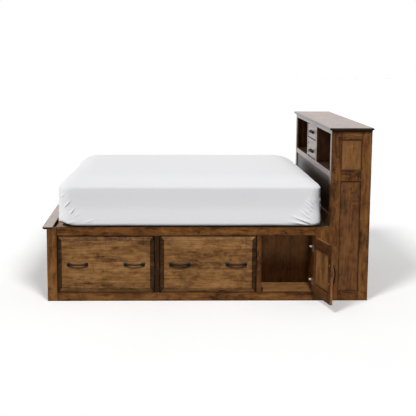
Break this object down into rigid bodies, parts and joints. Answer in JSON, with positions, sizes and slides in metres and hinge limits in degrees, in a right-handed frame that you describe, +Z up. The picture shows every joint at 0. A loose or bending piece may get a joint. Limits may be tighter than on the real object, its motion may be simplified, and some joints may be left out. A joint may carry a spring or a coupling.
{
  "type": "captains bed",
  "caption": "Storage platform bed in stained wood with side drawers and cupboards, a bookcase headboard with cubbies and small drawers, and a mattress on a plywood deck.",
  "frame": {"origin": "on the floor under the middle leg, at mid width and mid length of the bed", "axes": "+X from the foot to the headboard, +Z up, the long side with the open cupboard faces -Y"},
  "size_m": [2.5026, 2.4264, 1.334],
  "materials": {
    "frame_wood": "stained satin lacquer",
    "panel_wood": "stained satin lacquer",
    "drawer_wood": "clear lacquer",
    "plywood": "sanded",
    "raw_wood": "planed",
    "black_iron": "satin black",
    "slide_steel": "zinc plated",
    "nickel": "nickel plated",
    "catch_plastic": "matte",
    "bed_linen": "plain woven cotton"
  },
  "bodies": {
    "frame": {"side_top_rails": "frame_wood", "side_bottom_rails": "frame_wood", "foot_corner_stiles": "frame_wood", "mid_stiles": "frame_wood", "head_stiles": "frame_wood", "case_sides": "panel_wood", "case_backs": "plywood", "cupboard_floors": "frame_wood", "cupboard_backs": "frame_wood", "drawer_channels": "slide_steel", "foot_frame": "frame_wood", "foot_panels": "panel_wood", "foot_cap": "frame_wood", "head_cross_board": "raw_wood", "centre_support": "raw_wood", "deck_panels": "plywood", "hinge_plates": "nickel", "magnetic_catches": "catch_plastic", "headboard_end_frames": "frame_wood", "headboard_end_panels": "panel_wood", "headboard_front_frame": "frame_wood", "headboard_front_panel": "panel_wood", "headboard_back": "panel_wood", "headboard_shelf": "frame_wood", "cap_moulding": "frame_wood", "headboard_cap": "frame_wood", "drawer_column": "frame_wood", "small_drawer_runners": "frame_wood", "headboard_bolts": "slide_steel"},
    "near_foot_drawer": {"near_foot_drawer_front": "panel_wood", "near_foot_drawer_box": "drawer_wood", "near_foot_drawer_pulls": "black_iron", "near_foot_drawer_slides": "slide_steel"},
    "near_head_drawer": {"near_head_drawer_front": "panel_wood", "near_head_drawer_box": "drawer_wood", "near_head_drawer_pulls": "black_iron", "near_head_drawer_slides": "slide_steel"},
    "near_door": {"near_door_frame": "frame_wood", "near_door_panel": "panel_wood", "near_door_pull": "black_iron", "near_door_hinges": "nickel"},
    "far_foot_drawer": {"far_foot_drawer_front": "panel_wood", "far_foot_drawer_box": "drawer_wood", "far_foot_drawer_pulls": "black_iron", "far_foot_drawer_slides": "slide_steel"},
    "far_head_drawer": {"far_head_drawer_front": "panel_wood", "far_head_drawer_box": "drawer_wood", "far_head_drawer_pulls": "black_iron", "far_head_drawer_slides": "slide_steel"},
    "far_door": {"far_door_frame": "frame_wood", "far_door_panel": "panel_wood", "far_door_pull": "black_iron", "far_door_hinges": "nickel"},
    "lower_small_drawer": {"lower_small_drawer_front": "panel_wood", "lower_small_drawer_box": "drawer_wood", "lower_small_drawer_pull": "black_iron"},
    "upper_small_drawer": {"upper_small_drawer_front": "panel_wood", "upper_small_drawer_box": "drawer_wood", "upper_small_drawer_pull": "black_iron"},
    "mattress": {"mattress": "bed_linen"}
  },
  "joints": [
    {"name": "near_foot_drawer_slide", "type": "slide", "parent": "frame", "child": "near_foot_drawer", "axis": [0, -1, 0], "range_m": [0, 0.42]},
    {"name": "near_head_drawer_slide", "type": "slide", "parent": "frame", "child": "near_head_drawer", "axis": [0, -1, 0], "range_m": [0, 0.42]},
    {"name": "far_foot_drawer_slide", "type": "slide", "parent": "frame", "child": "far_foot_drawer", "axis": [0, 1, 0], "range_m": [0, 0.42]},
    {"name": "far_head_drawer_slide", "type": "slide", "parent": "frame", "child": "far_head_drawer", "axis": [0, 1, 0], "range_m": [0, 0.42]},
    {"name": "lower_small_drawer_slide", "type": "slide", "parent": "frame", "child": "lower_small_drawer", "axis": [-1, 0, 0], "range_m": [0, 0.17]},
    {"name": "upper_small_drawer_slide", "type": "slide", "parent": "frame", "child": "upper_small_drawer", "axis": [-1, 0, 0], "range_m": [0, 0.17]},
    {"name": "near_door_swing", "type": "hinge", "parent": "frame", "child": "near_door", "pos_m": [0.81775, -0.999, 0.288], "axis": [0, 0, 1], "range_deg": [-101, 9]},
    {"name": "far_door_swing", "type": "hinge", "parent": "frame", "child": "far_door", "pos_m": [0.81775, 0.999, 0.288], "axis": [0, 0, -1], "range_deg": [0, 110]},
    {"name": "mattress_lift", "type": "slide", "parent": "frame", "child": "mattress", "axis": [0, 0, 1], "range_m": [0, 0.05]}
  ]
}
